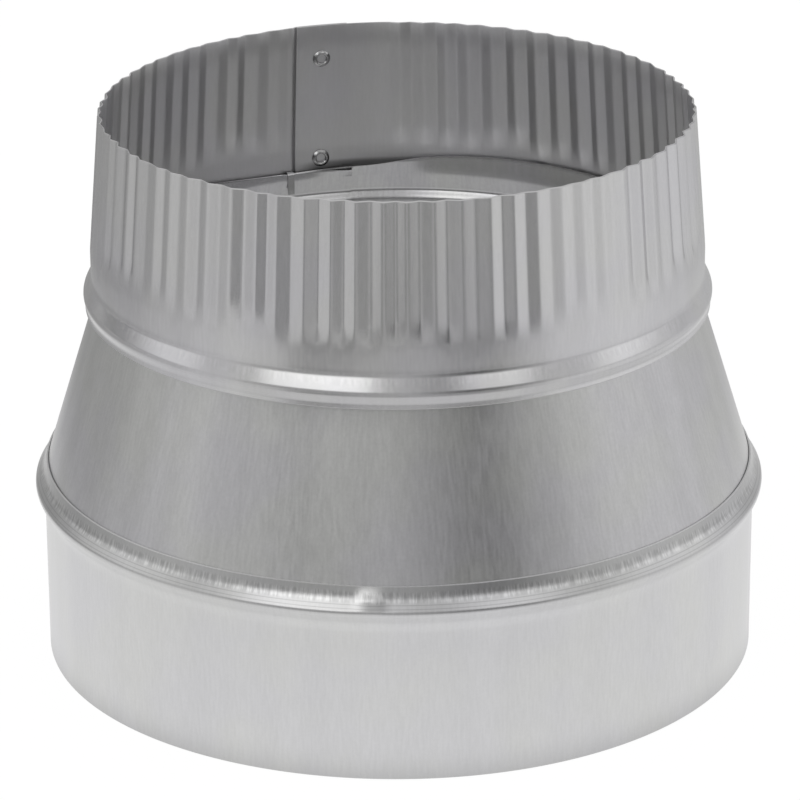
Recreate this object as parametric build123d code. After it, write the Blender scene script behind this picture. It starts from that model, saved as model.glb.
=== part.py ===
from build123d import *
import os

# Duct reducer, 7 in to 6 in, of galvanised sheet: a taper held between two beaded collars.
# Each of its three sheets is rolled into a ring and lapped at the back.
# Millimetres, +Z up. The origin is on the duct's axis, level with the edge of the large end.
# Angles are in degrees, anticlockwise from +X as seen from above, and the front is at -Y.

# Sheet
sheet = 0.5                      # thickness, about 26 gauge
fit_gap = 0.05                   # left between two layers that are pressed together

# The duct's sizes
large_bore_diameter = 177.8      # 7 in, goes over the next duct
small_outside_diameter = 152.4   # 6 in, before the end is crimped
large_collar_height = 50.0
taper_height = 40.0              # between the two collars, as seen from outside
small_collar_height = 49.6

# Bead and drawn-in band of the large collar
lower_bead_drop = 5.5            # the bead's middle, below the collar's top edge
lower_bead_width = 4.8
lower_bead_crest = 1.9
lower_bead_height = 2.25
band_draw_in = 0.7               # the band's top edge is this much inside the bore

# Bead and skirt of the small collar
upper_bead_rise = 4.6            # the bead's middle, above the collar's lower edge
upper_bead_width = 5.4
upper_bead_crest = 1.6
upper_bead_height = 1.95
plain_wall_height = 7.7          # between the bead and the crimps
skirt_step = 0.85                # the skirt's stand-off where it leaves the bead
skirt_flare = 1.6                # and at its lower edge

# The taper's two ends
lock_height = 1.5                # how far its top is swaged into the small collar's bead
lock_drop = 0.6                  # the swage's deepest line, below the bead's middle
lip_gap = 0.6                    # the upright lip above the swage clears the collar by this
lip_rise = 2.0                   # and stands this far above the bead
seat_gap = 0.15                  # the lower edge stands this far above the large collar's bead wall

# Crimps of the small end
crimp_count = 70
crimp_depth = 0.95               # from crest to valley
crimp_run_in = 5.0               # the valleys reach their depth within this height
crimp_draw_in = 2.77             # the crests' loss of radius at the rim
plain_arc = 20.9                 # left without crimps, for the seam
root_inset = 0.05                # keeps the crimps' straight sides inside the round wall they grow from

# Laps
small_lap_edge = 110.8           # where the layer seen inside the small collar ends
small_lap = 10.6
cone_lap_edge = 113.0            # where the layer seen outside on the taper ends
cone_lap = 13.6
large_lap_edge = 111.0
large_lap = 9.0
step_arc = 1.7                   # a layer steps aside for the lap within this arc
step_end_gap = 0.15              # left between the step and the edge it passes

# Locking tab, folded over the taper's top edge at its lap
tab_arc = 1.4
tab_length = 5.5

# Tubular rivets through the small collar's lap
low_rivet_rise = 5.2             # the lower one's middle, above the bead
high_rivet_drop = 9.2            # the upper one's middle, below the rim
rivet_shank_diameter = 3.2
rivet_hole_play = 0.05           # between shank and hole, on the radius
rivet_head_diameter = 5.6
rivet_head_height = 0.8
rivet_tail_diameter = 4.8
rivet_tail_height = 0.8
rivet_hollow_diameter = 2.4
rivet_tail_gap = 0.06            # the flat tail clears the middle of the hollow wall by this

# Radii and heights that follow
large_bore = large_bore_diameter / 2
small_bore = small_outside_diameter / 2 - sheet
small_collar_base = large_collar_height + taper_height
rim = small_collar_base + small_collar_height
rim_crest = small_bore - crimp_draw_in
lower_bead = large_collar_height - lower_bead_drop
upper_bead = small_collar_base + upper_bead_rise
upper_bead_top = upper_bead + upper_bead_width / 2
crimp_start = upper_bead_top + plain_wall_height
crimp_length = rim - crimp_start
lap_step = sheet + fit_gap


def moved(line, distance):
    """The points of a rising line moved outward, with mitred corners and level ends."""
    points = [Vector(*point) for point in line]
    runs = [(end - start).normalized() for start, end in zip(points, points[1:])]
    normals = [Vector(run.Y, -run.X) for run in runs]
    level = Vector(distance, 0)
    corners = []
    for point, below, above in zip(points[1:], normals, normals[1:]):
        corners.append(point + (below + above) * (distance / (1 + below.dot(above))))
    return [points[0] + level, *corners, points[-1] + level]


def strip(line, offset):
    """Cross-section of a sheet whose inner face is the line moved outward by the offset."""
    inner = moved(line, offset)
    outer = moved(line, offset + sheet)
    return Plane.XZ * make_face(Polyline(*inner, *reversed(outer), close=True))


def swept(section, start, end):
    """The section turned about the duct's axis from one angle to another."""
    return revolve(Rot(0, 0, start) * section, Axis.Z, end - start)


def ring(line, edge):
    """A sheet's turn about the axis, from where it will step aside round to its other edge."""
    return swept(strip(line, 0), edge + step_arc, edge + 360)


def lapping_end(line, edge, lap, step):
    """The end of a sheet that steps aside, passes the other edge and lies along that layer."""
    past_edge = edge + step_end_gap
    on_ring = Rot(0, 0, edge + step_arc) * strip(line, 0)
    set_aside = Rot(0, 0, past_edge) * strip(line, step)
    bend = loft([on_ring, set_aside], ruled=True)
    return bend + swept(strip(line, step), edge - lap, past_edge)


# Small collar: skirt, bead and plain wall
bead_wall = small_bore + upper_bead_height
collar_line = [
    (small_bore + skirt_flare, small_collar_base),
    (small_bore + skirt_step, upper_bead - upper_bead_width / 2),
    (bead_wall, upper_bead - upper_bead_crest / 2),
    (bead_wall, upper_bead + upper_bead_crest / 2),
    (small_bore, upper_bead_top),
    (small_bore, crimp_start),
]
plain_wall_line = [(small_bore, crimp_start), (rim_crest, rim)]

# Small collar: the crimped end, drawn in towards the rim, with a plain arc left for the seam
crimps_from = small_lap_edge + step_arc
crimps_to = crimps_from + 360 - plain_arc
fold_arc = (crimps_to - crimps_from) / (2 * crimp_count)


def wave(radius, depth, height):
    """Corners of the crimped end's outer face at one height: crests at the radius, valleys inside it."""
    corners = []
    for fold in range(2 * crimp_count + 1):
        corner = Vector(radius - depth * (fold % 2), 0, height)
        corners.append(corner.rotate(Axis.Z, crimps_from + fold * fold_arc))
    return corners


def facets(lower, upper):
    """Flat faces between two rows of corners, two to each span."""
    faces = []
    for low, low_next, high, high_next in zip(lower, lower[1:], upper, upper[1:]):
        faces.append(Face(Wire.make_polygon([low, low_next, high_next])))
        faces.append(Face(Wire.make_polygon([low, high_next, high])))
    return faces


def crimped_end():
    """The crimped sheet: folded faces outside and inside, closed along its four edges."""
    run_in_draw = crimp_draw_in * crimp_run_in / crimp_length
    rows = (
        (small_bore, 0, crimp_start, root_inset),
        (small_bore - run_in_draw, crimp_depth, crimp_start + crimp_run_in, 0),
        (rim_crest, crimp_depth, rim, 0),
    )
    outer = [wave(bore + sheet - inset, depth, height) for bore, depth, height, inset in rows]
    inner = [wave(bore + inset, depth, height) for bore, depth, height, inset in rows]
    faces = []
    for side in (outer, inner):
        for lower, upper in zip(side, side[1:]):
            faces += facets(lower, upper)
    for row in (0, -1):
        faces.append(Face(Wire.make_polygon([*outer[row], *reversed(inner[row])])))
    for end in (0, -1):
        corners = [row[end] for row in outer] + [row[end] for row in reversed(inner)]
        faces.append(Face(Wire.make_polygon(corners)))
    return Solid(Shell(faces))


small_collar = ring(collar_line, small_lap_edge) + crimped_end()
small_collar += swept(strip(plain_wall_line, 0), crimps_to - 360, small_lap_edge)
for line in (collar_line, plain_wall_line):
    small_collar += lapping_end(line, small_lap_edge, small_lap, lap_step)

# Large collar: plain end, bead and the band drawn in onto the taper
band_top = large_bore - band_draw_in
cone_slope = (band_top - fit_gap - small_bore) / taper_height
bead_foot = lower_bead - lower_bead_width / 2
bead_shoulder = lower_bead + lower_bead_width / 2
large_line = [
    (large_bore, 0),
    (large_bore, bead_foot),
    (large_bore + lower_bead_height, lower_bead - lower_bead_crest / 2),
    (large_bore + lower_bead_height, lower_bead + lower_bead_crest / 2),
    (band_top + cone_slope * (large_collar_height - bead_shoulder), bead_shoulder),
    (band_top, large_collar_height),
]
large_collar = ring(large_line, large_lap_edge) + lapping_end(large_line, large_lap_edge, large_lap, lap_step)

# Taper: its lower edge ends just above the wall of the large collar's bead
bead_wall_slope = lower_bead_height / ((lower_bead_width - lower_bead_crest) / 2)
taper_reach = cone_slope * large_collar_height + bead_wall_slope * bead_foot - band_draw_in - fit_gap
taper_foot = taper_reach / (cone_slope + bead_wall_slope) + seat_gap

# Taper: its top is swaged into the small collar's bead and stands upright above it
swage = upper_bead - lock_drop
lip_top = upper_bead_top + lip_rise
taper_outside = [
    (small_bore + cone_slope * (small_collar_base - taper_foot), taper_foot),
    (small_bore, small_collar_base),
    (small_bore + lock_height, swage),
    (small_bore - lip_gap, upper_bead_top),
    (small_bore - lip_gap, lip_top),
]
taper_line = moved(taper_outside, -sheet)
cone = ring(taper_line, cone_lap_edge) + lapping_end(taper_line, cone_lap_edge, cone_lap, -lap_step)

# Locking tab: over the top edge of the inner layer, then down inside it
lip_radius = taper_line[-1].X
tab_leg = [(lip_radius, lip_top - tab_length), (lip_radius, lip_top)]
tab_saddle = Polyline(
    (lip_radius - 2 * lap_step, lip_top),
    (lip_radius + sheet, lip_top),
    (lip_radius + sheet, lip_top + sheet),
    (lip_radius - 2 * lap_step, lip_top + sheet),
    close=True,
)
for section in (Plane.XZ * make_face(tab_saddle), strip(tab_leg, -2 * lap_step)):
    cone += swept(section, cone_lap_edge - tab_arc, cone_lap_edge)

# Rivets: a low head outside, a hollow shank through both layers and a tail rolled over inside
grip = 2 * sheet + fit_gap
tail_end = -rivet_tail_gap - rivet_tail_height
rivet_outline = Polyline(
    (0, grip + rivet_head_height),
    (rivet_head_diameter / 2, grip + rivet_head_height),
    (rivet_head_diameter / 2, grip),
    (rivet_shank_diameter / 2, grip),
    (rivet_shank_diameter / 2, -rivet_tail_gap),
    (rivet_tail_diameter / 2, -rivet_tail_gap),
    (rivet_tail_diameter / 2, tail_end),
    (rivet_hollow_diameter / 2, tail_end),
    (rivet_hollow_diameter / 2, 0),
    (0, 0),
    close=True,
)
rivet = revolve(Plane.XZ * make_face(rivet_outline), Axis.Z)
rivet_hole = Cylinder(rivet_shank_diameter / 2 + rivet_hole_play, 8 * sheet)


def rivet_seat(height):
    """Place on the inside of the small collar's seam, facing out square to the wall."""
    drawn = max(0, height - crimp_start) / crimp_length * crimp_draw_in
    lean = crimp_draw_in / crimp_length if drawn else 0
    wall = Plane(origin=(small_bore - drawn, 0, height), x_dir=(0, 1, 0), z_dir=(1, 0, lean))
    return Rot(0, 0, small_lap_edge - small_lap / 2) * wall.location


rivet_seats = [rivet_seat(upper_bead_top + low_rivet_rise), rivet_seat(rim - high_rivet_drop)]
seam_rivets = Compound(children=[seat * rivet for seat in rivet_seats])
small_collar -= [seat * rivet_hole for seat in rivet_seats]

# One file for each node
pieces = {
    "small_collar": small_collar,
    "cone": cone,
    "large_collar": large_collar,
    "seam_rivets": seam_rivets,
}
os.makedirs("parts", exist_ok=True)
for name, piece in pieces.items():
    export_step(piece, f"parts/{name}.step")
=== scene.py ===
import random
from math import pi, radians

import bpy
import numpy as np
from mathutils import Matrix, Vector


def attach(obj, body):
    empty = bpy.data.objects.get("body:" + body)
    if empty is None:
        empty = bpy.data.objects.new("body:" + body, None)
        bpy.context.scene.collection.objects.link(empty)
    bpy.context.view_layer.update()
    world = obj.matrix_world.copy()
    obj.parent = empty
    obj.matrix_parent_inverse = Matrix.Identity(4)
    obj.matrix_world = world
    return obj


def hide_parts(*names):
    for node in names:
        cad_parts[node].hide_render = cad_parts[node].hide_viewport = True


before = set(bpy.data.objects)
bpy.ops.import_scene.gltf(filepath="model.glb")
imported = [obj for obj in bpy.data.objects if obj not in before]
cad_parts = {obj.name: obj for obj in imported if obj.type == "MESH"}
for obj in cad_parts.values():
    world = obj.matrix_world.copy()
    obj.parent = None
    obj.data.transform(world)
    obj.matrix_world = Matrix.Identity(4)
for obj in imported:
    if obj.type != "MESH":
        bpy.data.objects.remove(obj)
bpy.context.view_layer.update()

# Duct reducer of galvanised sheet. Each sheet is made again on the sizes of its solid, with rounded beads,
# crimps that end unevenly, a wavy lip inside and the marks that the rolls left.
# Lengths are in millimetres and angles in degrees until a mesh is made. The front is at -Y.

# Sizes of the solids
sheet = 0.5
fit_gap = 0.05
large_bore = 88.9
small_bore = 75.7
large_collar_height = 50.0
small_collar_base = 90.0
rim = 139.6
lower_bead = 44.5
lower_bead_width = 4.8
lower_bead_height = 2.25
band_draw_in = 0.7
upper_bead = 94.6
upper_bead_width = 5.4
upper_bead_height = 1.95
skirt_flare = 1.6
crimp_start = 105.0
crimp_count = 70
crimp_depth = 0.95
crimp_draw_in = 2.77
plain_arc = 20.9
lock_height = 1.5
lock_drop = 0.6
lip_gap = 0.6
lip_top = 99.3
taper_foot = 43.2
small_lap_edge = 110.8
small_lap = 10.6
cone_lap_edge = 113.0
cone_lap = 13.6
large_lap_edge = 111.0
large_lap = 9.0
step_arc = 1.7
step_end_gap = 0.15
tab_arc = 1.4
tab_length = 5.5
low_rivet_height = 102.5
high_rivet_height = 130.4
rivet_head_diameter = 5.6
rivet_head_height = 0.8
rivet_tail_diameter = 4.8
rivet_tail_height = 0.8
rivet_hollow_diameter = 2.4

# Sizes that only the look needs
millimetre = 0.001               # in metres
layout_unit = 0.01               # the flat layouts for the materials count in 100 mm
inside_layout_shift = 0.37       # so that the inside's streaks differ from the outside's
sheet_sharp_angle = 40           # edges that bend by more than this stay sharp
rivet_sharp_angle = 50
corner_curve_steps = 5           # rows in each rounded corner
corner_share = 0.48              # the most that a rounded corner takes up of a run beside it
edge_width = 0.22                # bevel of the sheets' cut edges, along the face
edge_depth = 0.26                # and into the sheet, outside
inner_edge_depth = 0.12          # and inside
lower_bead_sag = 0.75            # the rounded beads' crests hang this much below the flat-sided ones
upper_bead_sag = 1.1
lower_bead_flat = 0.7            # the flat that is left at the lower one's crest
upper_bead_peak = 0.2            # the upper one has none; this much is lost there in rounding
upper_bead_rise = 0.6            # its top runs out this much above the flat-sided one's
bead_foot_fall = 2.1             # the lower bead's foot runs out this much below the flat-sided one's
skirt_top_step = 1.4             # the skirt's stand-off under the upper bead
skirt_top_fall = 0.5             # its top edge below the flat-sided bead's
swage_sag = 1.6                  # the taper's swage inside that bead hangs this much too
lap_jog_arc = 0.8                # a sheet steps aside for its lap within this
plain_column_arc = 0.75          # between two columns of a sheet without crimps
seam_column_arc = 0.3            # and of the small collar's lap
end_column_arc = 0.5             # and of its plain arc beside the lap
tab_column_arc = 0.2             # and of the locking tab
fold_columns = (0, 0.05, 0.13, 0.37, 0.45, 0.5, 0.55, 0.63, 0.87, 0.95)  # as shares of one crimp
fold_sharpness = 0.94            # 1 would leave the folds unrounded
crimp_run_in = 8.5               # each crimp reaches its depth within this height
crimp_run_in_rows = 12.0         # rows lie close together within this height
crimp_tip_low = 101.5            # the crimps' lower ends lie above this
crimp_tip_spread = 4.5           # and within this height
crimp_depth_low = 0.42           # the shallowest and the deepest, as a share of the full depth
crimp_depth_high = 1.12
crimp_place_spread = 0.14        # as a share of one crimp
faint_crimps = 7                 # so many on each side of the seam grow fainter towards it
last_fade_from = 1.15            # the last ones from this share of the full depth
last_fade_to = 0.6               # to this one
first_fade = 0.5                 # the first ones to this share of their own depth
round_waves = [(2, 0.6, 0.1), (5, 2.1, 0.04)]  # want of roundness: waves in a turn, start, height
lip_high = 103.2                 # top of the taper's wavy lip, away from its seam
lip_dip_arc = 26.0               # it falls towards the seam within about twice this
lip_lean = 2.2                   # it leans inward beside its lap by this
lip_lean_angle = 94.0
lip_lean_arc = 7.0
lap_spring = 0.9                 # the end of its inner layer springs inward by this
lap_spring_arc = 5.0
lap_end_drop = 0.5               # and lies this much lower
roll_mark_angle = 265.8          # where the lower bead's roll was set down
roll_mark_arc = 2.0
roll_mark_depth = 0.8
roll_mark_reach = 1.5            # above and below the bead's shoulder
rivet_sides = 48
rivet_shank = 1.6                # radius inside the sheets
rivet_floor = 0.6                # the hollow's floor, outward of the wall's inner face
rivet_floor_share = 0.9          # of the hollow's radius
rivet_tail_gap = 0.06            # between the rolled tail and the wall
rivet_tail_roll = 0.4            # from the tail's rim to its undercut, and from the hollow to its crest
rivet_mouth_share = 0.7          # of the tail's height, where the hollow's mouth starts to flare
rivet_rim_share = 0.4            # of the tail's height, where the tail is widest
rivet_head_slope = 0.5           # the head narrows by this to its top
rivet_cut = 0.35                 # rounding of its corners

# Radii and heights that follow
lap_step = sheet + fit_gap
rim_crest = small_bore - crimp_draw_in
upper_bead_top = upper_bead + upper_bead_width / 2
lower_bead_foot = lower_bead - lower_bead_width / 2
lower_bead_shoulder = lower_bead + lower_bead_width / 2
band_top = large_bore - band_draw_in
cone_slope = (band_top - fit_gap - small_bore) / (small_collar_base - large_collar_height)
swage = upper_bead - lock_drop
crimps_from = small_lap_edge + step_arc
crimps_to = crimps_from + 360 - plain_arc
crimp_pitch = (crimps_to - crimps_from) / crimp_count
crimp_slope = crimp_draw_in / (rim - crimp_start)
rivet_angle = small_lap_edge - small_lap / 2

chance = random.Random(7)


# Sheets
def unit(vectors):
    """The vectors brought to length one."""
    return vectors / np.linalg.norm(vectors, axis=-1, keepdims=True)


def smooth(share):
    """A soft step from 0 to 1."""
    share = np.clip(share, 0, 1)
    return share * share * (3 - 2 * share)


def moved(line, distance):
    """The points of a rising line moved outward, with mitred corners and level ends."""
    points = np.array(line, float)
    runs = unit(np.diff(points, axis=0))
    normals = np.stack([runs[:, 1], -runs[:, 0]], axis=1)
    bends = 1 + np.sum(normals[:-1] * normals[1:], axis=1, keepdims=True)
    corners = points[1:-1] + (normals[:-1] + normals[1:]) * distance / bends
    level = np.array([distance, 0])
    return np.vstack([points[0] + level, corners, points[-1] + level])


def rounded(points, cuts, run_steps):
    """The points of a line with its corners cut back and curved; each run is divided into steps."""
    starts = [points[0]]
    ends = []
    for before, corner, after, cut in zip(points, points[1:], points[2:], cuts):
        shorter = min(np.linalg.norm(before - corner), np.linalg.norm(after - corner))
        reach = min(cut, corner_share * shorter)
        ends.append(corner + unit(before - corner) * reach)
        starts.append(corner + unit(after - corner) * reach)
    ends.append(points[-1])
    rows = []
    for index, steps in enumerate(run_steps):
        shares = np.linspace(0, 1, steps + 1)[:, None]
        rows += list(starts[index] + (ends[index] - starts[index]) * shares)
        if index + 1 < len(run_steps):
            shares = np.linspace(0, 1, corner_curve_steps + 1)[1:-1, None]
            corner = points[index + 1]
            first = ends[index] + (corner - ends[index]) * shares
            second = corner + (starts[index + 1] - corner) * shares
            rows += list(first + (second - first) * shares)
    return np.array(rows)


def edged(rows):
    """The rows with one more close to each end, where the bevel of the cut edge starts."""
    low = rows[0] + unit(rows[1] - rows[0]) * edge_width
    high = rows[-1] + unit(rows[-2] - rows[-1]) * edge_width
    return np.vstack([rows[:1], low, rows[1:-1], high, rows[-1:]])


def lapped_grid(line, cuts, run_steps, angles, edge, step):
    """Radius and height of a sheet's outer face, one column for each angle, stepping aside for its lap."""
    on_ring = edged(rounded(moved(line, sheet), cuts, run_steps))
    set_aside = edged(rounded(moved(line, sheet + step), cuts, run_steps))
    aside = 1 - smooth((angles - edge - step_end_gap) / lap_jog_arc)
    grid = on_ring + (set_aside - on_ring) * aside[:, None, None]
    turns = np.radians(angles)[:, None]
    for waves, start, wave_height in round_waves:
        grid[:, :, 0] += wave_height * np.sin(waves * turns + start)
    return grid


def direction(points, axis):
    """The grid's direction at each point along one of its axes."""
    steps = unit(np.diff(points, axis=axis))
    first = np.take(steps, [0], axis=axis)
    last = np.take(steps, [-1], axis=axis)
    return np.concatenate([first, steps], axis=axis) + np.concatenate([steps, last], axis=axis)


def grid_quads(columns, rows):
    """Corner numbers of each cell of a grid, seen from outside."""
    numbers = np.arange(columns * rows).reshape(columns, rows)
    corners = [numbers[:-1, :-1], numbers[1:, :-1], numbers[1:, 1:], numbers[:-1, 1:]]
    return np.stack(corners, axis=-1).reshape(-1, 4)


def edge_quads(columns, rows):
    """Cells that close the sheet along its four edges, between the outer and the inner face."""
    numbers = np.arange(columns * rows).reshape(columns, rows)
    around = [numbers[:, 0], numbers[-1, :], numbers[::-1, -1], numbers[0, ::-1]]
    cells = []
    for edge in around:
        inner = edge + columns * rows
        cells.append(np.stack([edge[1:], edge[:-1], inner[:-1], inner[1:]], axis=-1))
    return np.vstack(cells)


def new_piece(name, mesh, material):
    """A piece of the object on its only body, with its material."""
    piece = bpy.data.objects.new(name, mesh)
    bpy.context.scene.collection.objects.link(piece)
    mesh.materials.append(material)
    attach(piece, "root")
    return piece


def flat_layout(grid, turns):
    """Where each point of the outer and then of the inner face lies on the flat sheet."""
    rise = np.linalg.norm(np.diff(grid, axis=1), axis=2)
    along = np.concatenate([np.zeros((len(grid), 1)), np.cumsum(rise, axis=1)], axis=1)
    across = np.broadcast_to(turns * grid[:, :, 0].mean(), along.shape)
    outside = np.stack([across, along], axis=-1).reshape(-1, 2) * layout_unit
    return np.concatenate([outside, outside + inside_layout_shift])


def sheet_piece(name, grid, angles, material):
    """A sheet with its outer face on the grid, and with a flat layout for its material."""
    columns, rows = grid.shape[:2]
    turns = np.radians(angles)[:, None]
    radius, height = grid[:, :, 0], grid[:, :, 1]
    outer = np.stack([radius * np.cos(turns), radius * np.sin(turns), height], axis=-1)
    normals = unit(np.cross(direction(outer, 0), direction(outer, 1)))
    inner = outer - sheet * normals
    outer[:, [0, -1]] -= edge_depth * normals[:, [0, -1]]
    inner[:, [0, -1]] += inner_edge_depth * normals[:, [0, -1]]
    corners = np.concatenate([outer.reshape(-1, 3), inner.reshape(-1, 3)]) * millimetre
    outside = grid_quads(columns, rows)
    inside = outside[:, ::-1] + columns * rows
    faces = np.vstack([outside, inside, edge_quads(columns, rows)])
    mesh = bpy.data.meshes.new(name)
    mesh.from_pydata(corners.tolist(), [], faces.tolist())
    flat = flat_layout(grid, turns)
    layout = mesh.uv_layers.new(name="flat_sheet")
    layout.uv.foreach_set("vector", flat[faces.ravel()].astype(np.float32).ravel())
    mesh.shade_smooth()
    mesh.set_sharp_from_angle(angle=radians(sheet_sharp_angle))
    return new_piece(name, mesh, material)


def columns_between(start, end, arc):
    """Evenly spaced angles from start to end."""
    return np.linspace(start, end, round((end - start) / arc) + 1)


# Materials
noise_low = 0.25                 # noise seldom leaves this range
noise_high = 0.75
tick_blur = 0.4                  # of the ticks' upper and lower ends
spot_side_blur = 6               # of a painted shade spot's sides
spot_top_blur = 1                # and of its top
streak_roughness = 0.06          # how much the roughness follows the streaks


def add_node(tree, kind, inputs=None, **settings):
    """A new shader node with its settings, and with its sockets set or linked."""
    node = tree.nodes.new(kind)
    for name, value in settings.items():
        setattr(node, name, value)
    for socket, value in (inputs or {}).items():
        if isinstance(value, bpy.types.NodeSocket):
            tree.links.new(value, node.inputs[socket])
        else:
            node.inputs[socket].default_value = value
    return node


def combined(tree, operation, first, second):
    """The result of one operation on two values."""
    return add_node(tree, "ShaderNodeMath", {0: first, 1: second}, operation=operation).outputs[0]


def product(tree, *values):
    """The values multiplied."""
    result = values[0]
    for value in values[1:]:
        result = combined(tree, "MULTIPLY", result, value)
    return result


def ranged(tree, value, low, high, out_low, out_high):
    """The value brought from one range to another."""
    inputs = {"Value": value, "From Min": low, "From Max": high, "To Min": out_low, "To Max": out_high}
    return add_node(tree, "ShaderNodeMapRange", inputs, interpolation_type="SMOOTHSTEP").outputs["Result"]


def varied(tree, value, strength):
    """A factor about 1 that follows the noise value."""
    return ranged(tree, value, noise_low, noise_high, 1 - strength, 1 + strength)


def mixed(tree, share, first, second):
    """A colour between two; the node's colours are its inputs 6 and 7 and its output 2."""
    inputs = {"Factor": share, 6: first, 7: second}
    return add_node(tree, "ShaderNodeMix", inputs, data_type="RGBA").outputs[2]


def stretched_noise(tree, place, across, along, detail):
    """Noise with this many grains on 100 mm across and along the sheet."""
    mapping = add_node(tree, "ShaderNodeMapping", {"Vector": place, "Scale": (across, along, 1)})
    inputs = {"Vector": mapping.outputs[0], "Scale": 1.0, "Detail": detail}
    return add_node(tree, "ShaderNodeTexNoise", inputs).outputs["Fac"]


def between(tree, axis, low, high, blur):
    """1 between two places along an axis of the object, in millimetres, and 0 outside them."""
    place = add_node(tree, "ShaderNodeTexCoord").outputs["Object"]
    measure = add_node(tree, "ShaderNodeSeparateXYZ", {"Vector": place}).outputs[axis]
    above = ranged(tree, measure, (low - blur) * millimetre, (low + blur) * millimetre, 0, 1)
    below = ranged(tree, measure, (high - blur) * millimetre, (high + blur) * millimetre, 1, 0)
    return product(tree, above, below)


def inward(tree):
    """1 on faces turned to the object's axis and 0 on the others."""
    source = add_node(tree, "ShaderNodeTexCoord").outputs
    inputs = {0: source["Object"], 1: (1, 1, 0)}
    outward = add_node(tree, "ShaderNodeVectorMath", inputs, operation="MULTIPLY").outputs[0]
    inputs = {0: outward, 1: source["Normal"]}
    facing = add_node(tree, "ShaderNodeVectorMath", inputs, operation="DOT_PRODUCT").outputs["Value"]
    return ranged(tree, facing, -0.01, 0.01, 1, 0)


def toned(tree, shade, mask, brightness):
    """The shade multiplied by a brightness where the mask is 1."""
    return product(tree, shade, ranged(tree, mask, 0, 1, 1, brightness))


def metal_material(name):
    """A new material of metal, its shader tree and the metal's node."""
    material = bpy.data.materials.new(name)
    material.use_nodes = True
    tree = material.node_tree
    metal = tree.nodes["Principled BSDF"]
    metal.inputs["Metallic"].default_value = 1.0
    return material, tree, metal


def galvanised(name, tone, roughness, inside_roughness, streak, grain, band, ticks, painted_light_zones, painted_shade_spots):
    """Zinc-coated sheet: short upright streaks, fine grain, broad upright bands and ticks left by the rolls.

    The tone is a cool and a warm one that change places in broad patches. Ticks are given as low, high and
    strength, and bands of painted shade and painted highlight as low, high, blur and brightness. Spots of
    painted shade are on the inside only, and are given as left, right, top and brightness.
    """
    material, tree, metal = metal_material(name)
    place = add_node(tree, "ShaderNodeUVMap", uv_map="flat_sheet").outputs["UV"]
    streaks = stretched_noise(tree, place, across=140, along=18, detail=3)
    grains = stretched_noise(tree, place, across=150, along=120, detail=4)
    bands = stretched_noise(tree, place, across=9, along=0.8, detail=2)
    shade = product(tree, varied(tree, streaks, streak), varied(tree, grains, grain))
    shade = product(tree, shade, varied(tree, bands, band))
    # painted shade and painted highlight, in bands of height
    for low, high, blur, brightness in painted_light_zones:
        shade = toned(tree, shade, between(tree, "Z", low, high, blur), brightness)
    # painted shade, in spots on the inside
    for left, right, top, brightness in painted_shade_spots:
        beside = between(tree, "X", left, right, spot_side_blur)
        under = between(tree, "Z", 0, top, spot_top_blur)
        shade = toned(tree, shade, product(tree, inward(tree), beside, under), brightness)
    relief = product(tree, streaks, streak)
    for low, high, strength in ticks:
        tick = ranged(tree, stretched_noise(tree, place, across=150, along=24, detail=4), 0.38, 0.66, -1, 1)
        tick = product(tree, tick, between(tree, "Z", low, high, tick_blur), strength)
        shade = product(tree, shade, combined(tree, "ADD", tick, 1))
        relief = combined(tree, "ADD", relief, tick)
    patches = ranged(tree, stretched_noise(tree, place, across=3.5, along=3.5, detail=2), 0.35, 0.65, 0, 1)
    cool, warm = tone
    tint = mixed(tree, patches, (*cool, 1), (*warm, 1))
    colour = add_node(tree, "ShaderNodeVectorMath", {0: tint, "Scale": shade}, operation="SCALE")
    tree.links.new(colour.outputs[0], metal.inputs["Base Color"])
    base = ranged(tree, inward(tree), 0, 1, roughness, inside_roughness)
    uneven = varied(tree, streaks, streak_roughness)
    tree.links.new(product(tree, base, uneven), metal.inputs["Roughness"])
    bump = add_node(tree, "ShaderNodeBump", {"Strength": 0.5, "Distance": 0.00008, "Height": relief})
    tree.links.new(bump.outputs["Normal"], metal.inputs["Normal"])
    return material


def plated_steel(name):
    """Bright plated steel of the rivets, a little uneven."""
    material, tree, metal = metal_material(name)
    place = add_node(tree, "ShaderNodeTexCoord").outputs["Object"]
    inputs = {"Vector": place, "Scale": 900.0, "Detail": 3.0}
    grain = add_node(tree, "ShaderNodeTexNoise", inputs).outputs["Fac"]
    tint = add_node(tree, "ShaderNodeValToRGB", {"Fac": grain})
    tint.color_ramp.elements[0].color = (0.26, 0.26, 0.26, 1)
    tint.color_ramp.elements[1].color = (0.56, 0.56, 0.56, 1)
    tree.links.new(tint.outputs["Color"], metal.inputs["Base Color"])
    tree.links.new(ranged(tree, grain, 0.3, 0.7, 0.12, 0.24), metal.inputs["Roughness"])
    return material


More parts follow.
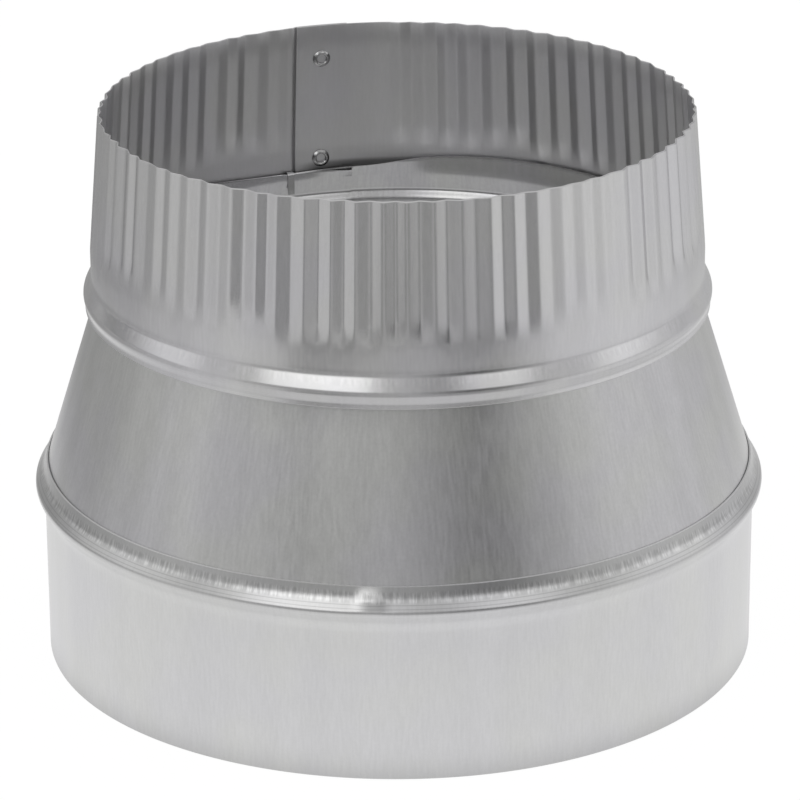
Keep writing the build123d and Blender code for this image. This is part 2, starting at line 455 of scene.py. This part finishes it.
small_sheet = galvanised(
    "small_collar_sheet",
    tone=((0.594, 0.590, 0.606), (0.602, 0.600, 0.598)),
    roughness=0.24,
    inside_roughness=0.4,
    streak=0.02,
    grain=0.01,
    band=0.03,
    ticks=[(95.5, 97.2, 0.03)],
    # painted highlight brightening the skirt, and painted shade in a dark band under the upper bead
    painted_light_zones=[(80, 91.0, 0.5, 1.12), (91.2, 93.2, 0.5, 0.76)],
    # painted shade: the dark wedge inside beside the lap, where the wall stands off the lip
    painted_shade_spots=[(-24, 5, 101.4, 0.45)],
)
cone_sheet = galvanised(
    "cone_sheet",
    tone=((0.575, 0.571, 0.587), (0.582, 0.583, 0.573)),
    roughness=0.33,
    inside_roughness=0.25,
    streak=0.045,
    grain=0.03,
    band=0.05,
    ticks=[],
    # painted shade on the lip and on the swage's bright ring inside the small collar
    painted_light_zones=[(93.0, 110, 0.4, 0.82), (90.2, 92.6, 0.3, 0.88)],
    painted_shade_spots=[],
)
large_sheet = galvanised(
    "large_collar_sheet",
    tone=((0.596, 0.595, 0.605), (0.602, 0.602, 0.598)),
    roughness=0.32,
    inside_roughness=0.32,
    streak=0.03,
    grain=0.015,
    band=0.02,
    ticks=[(46.2, 48.6, 0.16)],
    painted_light_zones=[
        # painted shade: darker towards the bottom, in place of the reflected shadow where it meets the floor
        (-12, 0, 12, 0.6),
        # painted shade: two thin dark lines across the lower bead's highlight, in place of the roll's
        # grooves
        (44.95, 45.05, 0.15, 0.6),
        (45.75, 45.85, 0.15, 0.6),
        # painted shade dimming the lower bead's highlight
        (43.0, 46.4, 0.8, 0.91),
        # painted shade darkening the drawn-in band
        (47.0, 51, 0.6, 0.83),
        # painted highlight along the band's top edge
        (49.75, 51, 0.1, 1.4),
    ],
    painted_shade_spots=[],
)
rivet_steel = plated_steel("rivet_steel")

# Small collar: skirt, bead, plain wall and crimps
bead_wall = small_bore + upper_bead_height
run_in_end = crimp_start + crimp_run_in_rows
collar_line = [
    (small_bore + skirt_flare, small_collar_base),
    (small_bore + skirt_top_step, upper_bead - upper_bead_width / 2 - skirt_top_fall),
    (bead_wall + upper_bead_peak, upper_bead - upper_bead_sag),
    (small_bore, upper_bead_top + upper_bead_rise),
    (small_bore, crimp_start),
    (small_bore - crimp_slope * crimp_run_in_rows, run_in_end),
    (rim_crest, rim),
]


def crimp_columns():
    """Columns across the crimps, counted in crimps, and the angles where they end up."""
    places = [crimp + share for crimp in range(crimp_count) for share in fold_columns]
    places = np.array(places + [crimp_count])
    drift = [crimp_place_spread * chance.uniform(-1, 1) for _ in range(crimp_count + 1)]
    drift[0] = 0
    drift[-1] = 0
    drifted = places + np.interp(places, range(crimp_count + 1), drift)
    return places, crimps_from + crimp_pitch * drifted


def crimp_depths(places, heights):
    """How far the crimps press the wall in, for columns counted in crimps and at each height."""
    least = np.arccos(fold_sharpness) / pi
    fold = (np.arccos(fold_sharpness * np.cos(2 * pi * places)) / pi - least) / (1 - 2 * least)
    tips = np.array([crimp_tip_low + crimp_tip_spread * chance.random() for _ in range(crimp_count)])
    depths = np.array([chance.uniform(crimp_depth_low, crimp_depth_high) for _ in range(crimp_count)])
    depths[-faint_crimps:] = np.linspace(last_fade_from, last_fade_to, faint_crimps)
    depths[:faint_crimps] *= np.linspace(first_fade, 1, faint_crimps)
    crimp = np.clip(np.floor(places).astype(int), 0, crimp_count - 1)
    along = smooth((heights - tips[crimp][:, None]) / crimp_run_in)
    return crimp_depth * (fold * depths[crimp])[:, None] * along


seam_angles = columns_between(small_lap_edge - small_lap, crimps_from, seam_column_arc)
end_angles = columns_between(crimps_to, small_lap_edge + 360, end_column_arc)
places, crimp_angles = crimp_columns()
angles = np.concatenate([seam_angles, crimp_angles[1:-1], end_angles])
before_crimps = np.zeros_like(seam_angles)
after_crimps = np.full_like(end_angles, crimp_count)
places = np.concatenate([before_crimps, places[1:-1], after_crimps])
grid = lapped_grid(
    collar_line,
    cuts=(1.0, 1.6, 0.9, 0.9, 0.9),
    run_steps=(1, 1, 1, 7, 11, 3),
    angles=angles,
    edge=small_lap_edge,
    step=lap_step,
)
grid[:, :, 0] -= crimp_depths(places, grid[:, :, 1])
small_collar = sheet_piece("small_collar_rolled", grid, angles, small_sheet)
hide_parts("small_collar")

# Taper: foot inside the lower bead, swage inside the upper one and a wavy upright lip above it
lip_radius = small_bore - lip_gap - sheet
taper_outside = [
    (small_bore + cone_slope * (small_collar_base - taper_foot), taper_foot),
    (small_bore, small_collar_base),
    (small_bore + lock_height, swage - swage_sag),
    (small_bore - lip_gap, upper_bead_top),
    (small_bore - lip_gap, lip_top),
]


def nearness(angles, middle, arc):
    """1 at the middle angle, falling off softly on both sides of it."""
    away = (angles - middle + 180) % 360 - 180
    return np.exp(-((away / arc) ** 2))


angles = columns_between(cone_lap_edge - cone_lap, cone_lap_edge + 360, plain_column_arc)
grid = lapped_grid(
    moved(taper_outside, -sheet),
    cuts=(0.9, 0.9, 0.9),
    run_steps=(8, 2, 2, 3),
    angles=angles,
    edge=cone_lap_edge,
    step=-lap_step,
)
near_end = np.exp(-(((angles - angles[0]) / lap_spring_arc) ** 2))
lean = lip_lean * nearness(angles, lip_lean_angle, lip_lean_arc) + lap_spring * near_end
rise = (lip_high - lip_top) * (1 - nearness(angles, cone_lap_edge, lip_dip_arc)) - lap_end_drop * near_end
lip_share = np.clip((grid[:, :, 1] - upper_bead_top) / (lip_top - upper_bead_top), 0, 1)
grid[:, :, 0] -= lip_share * lean[:, None]
grid[:, :, 1] += lip_share * rise[:, None]
cone = sheet_piece("cone_rolled", grid, angles, cone_sheet)
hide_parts("cone")

# Locking tab: over the taper's top edge at its lap and down inside
tab_leg = lip_radius - 2 * lap_step + sheet
tab_line = [(tab_leg, lip_top - tab_length), (tab_leg, lip_top), (lip_radius + sheet, lip_top)]
angles = columns_between(cone_lap_edge - tab_arc, cone_lap_edge, tab_column_arc)
tab_rows = rounded(np.array(tab_line), cuts=(0.4,), run_steps=(3, 2))
grid = np.broadcast_to(tab_rows, (len(angles), *tab_rows.shape))
sheet_piece("cone_tab", grid, angles, cone_sheet)

# Large collar: plain end, bead with the roll's mark and the band drawn in onto the taper
large_line = [
    (large_bore, 0),
    (large_bore, lower_bead_foot - bead_foot_fall),
    (large_bore + lower_bead_height, lower_bead - lower_bead_sag - lower_bead_flat / 2),
    (large_bore + lower_bead_height, lower_bead - lower_bead_sag + lower_bead_flat / 2),
    (band_top + cone_slope * (large_collar_height - lower_bead_shoulder), lower_bead_shoulder),
    (band_top, large_collar_height),
]
angles = columns_between(large_lap_edge - large_lap, large_lap_edge + 360, plain_column_arc)
grid = lapped_grid(
    large_line,
    cuts=(1.8, 0.7, 0.7, 0.9),
    run_steps=(10, 1, 1, 1, 2),
    angles=angles,
    edge=large_lap_edge,
    step=lap_step,
)
mark = np.exp(-(((angles - roll_mark_angle) / roll_mark_arc) ** 4))[:, None]
in_valley = np.exp(-(((grid[:, :, 1] - lower_bead_shoulder) / roll_mark_reach) ** 2))
grid[:, :, 0] += roll_mark_depth * mark * in_valley
large_collar = sheet_piece("large_collar_rolled", grid, angles, large_sheet)
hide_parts("large_collar")


# Rivets: a low head outside, and inside a tail rolled over round its hollow
def rivet_profile():
    """Radius and height of a rivet's turned outline, from the hollow's floor round to the head's top."""
    grip = 2 * sheet + fit_gap
    tail = rivet_tail_diameter / 2
    hollow = rivet_hollow_diameter / 2
    head = rivet_head_diameter / 2
    outline = [
        (0, rivet_floor),
        (hollow * rivet_floor_share, rivet_floor),
        (hollow, -rivet_mouth_share * rivet_tail_height),
        (hollow + rivet_tail_roll, -rivet_tail_height - rivet_tail_gap),
        (tail, -rivet_rim_share * rivet_tail_height),
        (tail - rivet_tail_roll, -rivet_tail_gap),
        (rivet_shank, -rivet_tail_gap),
        (rivet_shank, grip),
        (head, grip),
        (head - rivet_head_slope, grip + rivet_head_height),
        (0, grip + rivet_head_height),
    ]
    runs = len(outline) - 1
    return rounded(np.array(outline, float), cuts=(rivet_cut,) * (runs - 1), run_steps=(1,) * runs)


def rivets_mesh(places):
    """Both rivets as one mesh, each standing on its own place on the collar."""
    profile = rivet_profile()
    turns = np.linspace(0, 2 * pi, rivet_sides, endpoint=False)[:, None]
    radius, height = profile[:, 0], profile[:, 1]
    ring = np.stack([radius * np.cos(turns), radius * np.sin(turns), height + 0 * turns], axis=-1)
    closed = np.concatenate([ring, ring[:1]])
    quads = grid_quads(*closed.shape[:2])
    corners = []
    faces = []
    for place in places:
        faces += (quads + len(corners)).tolist()
        corners += [place @ Vector(point * millimetre) for point in closed.reshape(-1, 3)]
    mesh = bpy.data.meshes.new("seam_rivets_turned")
    mesh.from_pydata(corners, [], faces)
    mesh.shade_smooth()
    mesh.set_sharp_from_angle(angle=radians(rivet_sharp_angle))
    return mesh


def rivet_place(height):
    """Where a rivet stands, its axis square to the collar's wall."""
    lean = crimp_slope if height > crimp_start else 0
    radius = small_bore - lean * (height - crimp_start)
    turn = Matrix.Rotation(radians(rivet_angle), 4, "Z")
    spot = Matrix.Translation(Vector((radius, 0, height)) * millimetre)
    return turn @ spot @ Vector((1, 0, lean)).to_track_quat("Z", "Y").to_matrix().to_4x4()


rivet_places = [rivet_place(low_rivet_height), rivet_place(high_rivet_height)]
rivets = new_piece("seam_rivets_turned", rivets_mesh(rivet_places), rivet_steel)
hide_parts("seam_rivets")

# Stage: what stands round the object, as the metal shows it. Lengths are in metres from here on.
floor_half = 6.0
floor_change = (0.0885, 0.0895)  # radii where it changes, under the large collar's edge
# the lower glow inside is painted shade of the object over the floor under it
floor_glow_inside = 0.48         # what the floor gives of its own, against what falls on it
floor_glow_outside = 0.96
card_near = 0.19                 # inner and outer radius of the ring-shaped card
card_far = 3.0
card_lift = 0.001
card_sides = 64
card_fade = (0.2, 0.32)          # where it turns from white to the greys
card_white = (0.95, 0.95, 0.95, 1)
ceiling_grey = (0.75, 0.75, 0.75, 1)

# Direction in degrees from the front, to the right, and the grey in that direction
wall_greys = [
    (-180, 0.58),
    (-150, 0.40),
    (-118, 0.29),
    (-98, 0.49),
    (-66, 0.68),
    (-50, 0.50),
    (-36, 0.35),
    (-10, 0.42),
    (2, 0.56),
    (13, 0.32),
    (28, 0.03),
    (44, 0.31),
    (60, 0.63),
    (84, 0.74),
    (110, 0.65),
    (145, 0.50),
    (180, 0.58),
]
# the ring card's own glow, darker and lighter by direction: painted reflections in the metal
card_greys = [
    (-180, 0.50),
    (-150, 0.38),
    (-110, 0.44),
    (-86, 0.58),
    (-60, 0.70),
    (-40, 0.69),
    (-33, 0.32),
    (-24, 0.35),
    (-6, 0.47),
    (8, 0.47),
    (22, 0.36),
    (35, 0.38),
    (46, 0.66),
    (62, 0.82),
    (85, 0.86),
    (110, 0.76),
    (135, 0.64),
    (155, 0.56),
    (180, 0.50),
]


def grey_round(tree, place, greys):
    """The grey in the direction of a place, from a list of directions and greys."""
    parts = add_node(tree, "ShaderNodeSeparateXYZ", {"Vector": place}).outputs
    turn = combined(tree, "ARCTAN2", parts["X"], product(tree, parts["Y"], -1))
    share = combined(tree, "ADD", combined(tree, "DIVIDE", turn, 2 * pi), 0.5)
    ramp = add_node(tree, "ShaderNodeValToRGB", {"Fac": share})
    ramp.color_ramp.interpolation = "EASE"
    stops = ramp.color_ramp.elements
    for degrees, _ in greys[1:-1]:
        stops.new(degrees / 360 + 0.5)
    for stop, (_, grey) in zip(stops, greys):
        stop.color = (grey, grey, grey, 1)
    return ramp.outputs["Color"]


def stage_mesh(name, corners, faces):
    """A piece of the stage."""
    mesh = bpy.data.meshes.new(name)
    mesh.from_pydata(corners, [], faces)
    piece = bpy.data.objects.new(name, mesh)
    bpy.context.scene.collection.objects.link(piece)
    return piece


def shader_tree(name):
    """A new material, its empty shader tree and its output."""
    material = bpy.data.materials.new(name)
    material.use_nodes = True
    tree = material.node_tree
    tree.nodes.remove(tree.nodes["Principled BSDF"])
    return material, tree, tree.nodes["Material Output"]


def floor_material():
    """White for the camera and in the metal, with a trace of shadow, and painted shade inside the object,
    where it glows less.
    """
    material, tree, out = shader_tree("floor_white")
    path = add_node(tree, "ShaderNodeLightPath").outputs
    seen = combined(tree, "MAXIMUM", path["Is Camera Ray"], path["Is Glossy Ray"])
    seen = combined(tree, "MAXIMUM", seen, path["Is Transmission Ray"])
    place = add_node(tree, "ShaderNodeTexCoord").outputs["Object"]
    grain = add_node(tree, "ShaderNodeTexNoise", {"Vector": place, "Scale": 30.0}).outputs["Fac"]
    matt = add_node(tree, "ShaderNodeBsdfDiffuse", {"Color": ranged(tree, grain, 0.3, 0.7, 0.88, 0.9)})
    glow = add_node(tree, "ShaderNodeEmission", {"Color": (1, 1, 1, 1), "Strength": 1.02})
    off_axis = add_node(tree, "ShaderNodeVectorMath", {0: place}, operation="LENGTH").outputs["Value"]
    own_glow = ranged(tree, off_axis, *floor_change, floor_glow_inside, floor_glow_outside)
    share = product(tree, seen, own_glow)
    mix = add_node(tree, "ShaderNodeMixShader", {"Fac": share, 1: matt.outputs[0], 2: glow.outputs[0]})
    tree.links.new(mix.outputs[0], out.inputs["Surface"])
    return material


def ring_card_material():
    """Glows white beside the object, farther out the grey of the surroundings: painted reflections, no lamp.
    """
    material, tree, out = shader_tree("card_grey")
    place = add_node(tree, "ShaderNodeTexCoord").outputs["Object"]
    away = add_node(tree, "ShaderNodeVectorMath", {0: place}, operation="LENGTH").outputs["Value"]
    share = ranged(tree, away, *card_fade, 0, 1)
    tone = mixed(tree, share, card_white, grey_round(tree, place, card_greys))
    glow = add_node(tree, "ShaderNodeEmission", {"Color": tone, "Strength": 1.0})
    tree.links.new(glow.outputs[0], out.inputs["Surface"])
    return material


floor_corners = [(x * floor_half, y * floor_half, 0) for x, y in ((-1, -1), (1, -1), (1, 1), (-1, 1))]
floor = stage_mesh("floor", floor_corners, [(0, 1, 2, 3)])
floor.data.materials.append(floor_material())

# A ring-shaped card on the floor that glows its own greys, seen only in the metal as painted reflections
card_corners = []
for side in range(card_sides):
    turn = Matrix.Rotation(2 * pi * side / card_sides, 3, "Z")
    card_corners += [turn @ Vector((radius, 0, card_lift)) for radius in (card_near, card_far)]
card_faces = []
for near in range(0, 2 * card_sides, 2):
    after = (near + 2) % (2 * card_sides)
    card_faces.append((near, near + 1, after + 1, after))
ring_card = stage_mesh("ring_card", card_corners, card_faces)
ring_card.data.materials.append(ring_card_material())
ring_card.visible_camera = False
ring_card.visible_shadow = False
ring_card.visible_diffuse = False


# Lamps: name, place, width, height and power in watts
lamp_target = (0, 0, 0.09)
lamps = [
    ("lamp_front", (-0.64, -1.11, 0.92), 1.0, 0.66, 2.6),
    ("lamp_front_right", (0.79, -1.09, 0.90), 0.7, 0.6, 1.15),
    ("lamp_left", (-1.43, 0.3, 0.66), 1.4, 0.66, 1.4),
    ("lamp_right", (1.43, 0.3, 0.66), 1.4, 0.66, 1.1),
]


def soft_lamp(name, place, width, height, power):
    """A soft lamp turned to the object."""
    lamp = bpy.data.lights.new(name, "AREA")
    lamp.shape = "RECTANGLE"
    lamp.size = width
    lamp.size_y = height
    lamp.energy = power
    stand = bpy.data.objects.new(name, lamp)
    stand.location = place
    stand.rotation_euler = (Vector(lamp_target) - Vector(place)).to_track_quat("-Z", "Y").to_euler()
    bpy.context.scene.collection.objects.link(stand)


for lamp_values in lamps:
    soft_lamp(*lamp_values)

# World: the surroundings near the horizon, a light ceiling overhead
world = bpy.data.worlds.new("studio")
bpy.context.scene.world = world
world.use_nodes = True
tree = world.node_tree
look = add_node(tree, "ShaderNodeTexCoord").outputs["Generated"]
upward = add_node(tree, "ShaderNodeSeparateXYZ", {"Vector": look}).outputs["Z"]
ceiling = ranged(tree, upward, 0.3, 0.9, 0, 1)
sky = mixed(tree, ceiling, grey_round(tree, look, wall_greys), ceiling_grey)
tree.links.new(sky, tree.nodes["Background"].inputs["Color"])

# Camera at the photo's angle
camera_fall = 21.358             # degrees that it looks down by
camera_roll = -0.301
camera = bpy.data.cameras.new("camera")
camera.sensor_width = 36
camera.lens = 197.84
stand = bpy.data.objects.new("camera", camera)
stand.location = (0.00042, -1.03152, 0.46551)
pitch = Matrix.Rotation(radians(90 - camera_fall), 4, "X")
roll = Matrix.Rotation(radians(camera_roll), 4, "Z")
stand.rotation_euler = (pitch @ roll).to_euler()
bpy.context.scene.collection.objects.link(stand)
bpy.context.scene.camera = stand

bpy.context.scene.view_settings.view_transform = "Standard"
